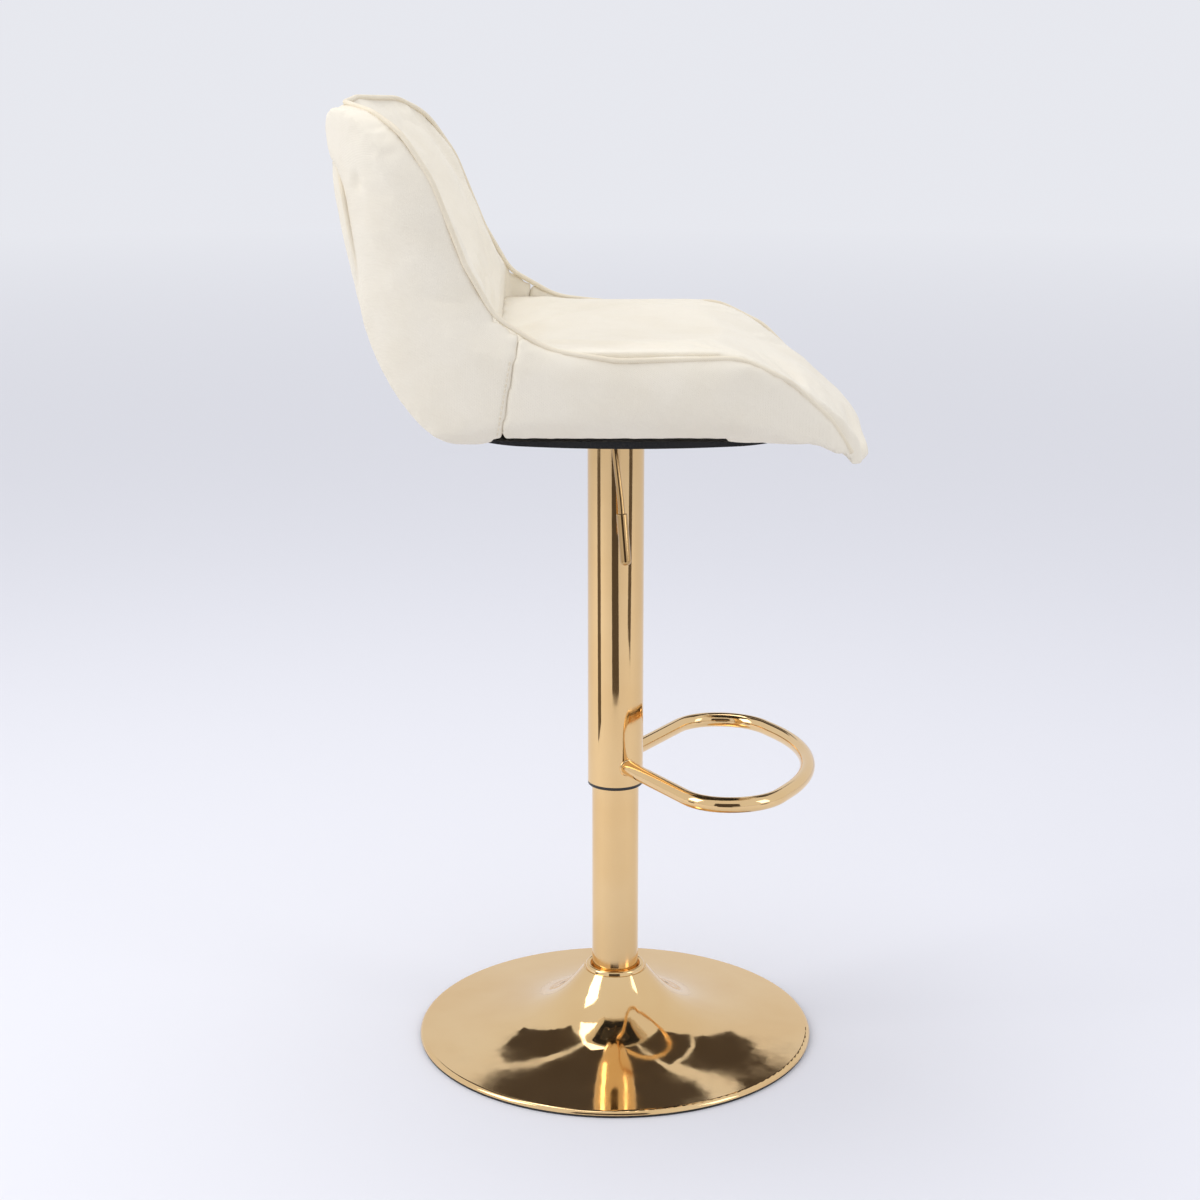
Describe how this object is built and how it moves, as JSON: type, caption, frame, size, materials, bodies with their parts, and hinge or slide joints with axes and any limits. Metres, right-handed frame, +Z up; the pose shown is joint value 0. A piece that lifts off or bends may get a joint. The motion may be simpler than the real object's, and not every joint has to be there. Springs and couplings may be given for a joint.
{
  "type": "bar stool with footrest",
  "caption": "Height-adjustable swivel bar stool: round trumpet base, gas-lift column, looped footrest, side lever and a low-backed upholstered bucket seat.",
  "frame": {"origin": "on the floor, on the axis that the seat swivels about, at the centre of the round base", "axes": "+Z up, +X the way the sitter faces, +Y to the sitter's left"},
  "size_m": [0.5354, 0.4406, 1.0062],
  "materials": {
    "gold_base": "mirror-polished gold plate on spun steel",
    "gold_tube": "mirror-polished gold plate on steel tube",
    "plain_steel": "plain machined steel",
    "bearing_steel": "ground or zinc-plated steel",
    "black_steel": "black powder coat",
    "cast_weight": "raw casting painted black",
    "black_rubber": "matt black rubber",
    "black_plastic": "black moulded nylon",
    "birch_ply": "raw moulded plywood",
    "cream_cloth": "smooth short-pile cream upholstery over foam",
    "cream_piping": "cream cloth wrapped round a cord",
    "black_cloth": "black non-woven dust cloth on board"
  },
  "bodies": {
    "base": {"base_shell": "gold_base", "base_collar": "gold_tube", "base_hub": "plain_steel", "ballast": "cast_weight", "floor_ring": "black_rubber", "column": "gold_tube", "guide_bush": "black_plastic", "bearing_lower_race": "bearing_steel"},
    "rod": {"piston_rod": "bearing_steel", "piston": "plain_steel", "piston_seal": "black_rubber", "bearing_upper_race": "bearing_steel", "bearing_balls": "bearing_steel", "bearing_cage": "black_plastic", "rod_clip": "bearing_steel", "clip_washer": "bearing_steel", "bump_stop": "black_rubber"},
    "seat": {"pressure_cylinder": "black_steel", "rod_guide": "black_plastic", "rod_seal": "black_rubber", "valve_body": "plain_steel", "footrest_tube": "gold_tube", "glide_ring": "black_plastic", "centring_bush": "black_plastic", "footrest_bar": "gold_tube", "seat_plate": "black_steel", "taper_hub": "black_steel", "lever_bracket": "black_steel", "lever_pivot": "bearing_steel", "bolt_washers": "bearing_steel", "seat_bolts": "bearing_steel", "t_nuts": "bearing_steel", "seat_shell": "birch_ply", "seat_pad": "cream_cloth", "back_pad": "cream_cloth", "rear_panel": "cream_cloth", "seat_band_right": "cream_cloth", "seat_band_left": "cream_cloth", "back_band": "cream_cloth", "front_piping": "cream_piping", "rear_piping": "cream_piping", "bottom_cover": "black_cloth"},
    "lever": {"lever_rod": "gold_tube", "lever_grip": "gold_tube"},
    "pin": {"release_pin": "bearing_steel"}
  },
  "joints": [
    {"name": "swivel", "type": "hinge", "parent": "base", "child": "rod", "pos_m": [0, 0, 0.02], "axis": [0, 0, 1], "continuous": true},
    {"name": "height", "type": "slide", "parent": "rod", "child": "seat", "axis": [0, 0, 1], "range_m": [-0.185, 0.025]},
    {"name": "lever", "type": "hinge", "parent": "seat", "child": "lever", "pos_m": [-0.003, -0.045, 0.6765], "axis": [-1, 0, 0], "range_deg": [0, 6], "stiffness_Nm_per_rad": 4},
    {"name": "release", "type": "slide", "parent": "seat", "child": "pin", "axis": [0, 0, -1], "range_m": [0, 0.0048]}
  ],
  "couplings": [
    {"joint": "release", "follows": "lever", "m_per_rad": 0.045}
  ]
}
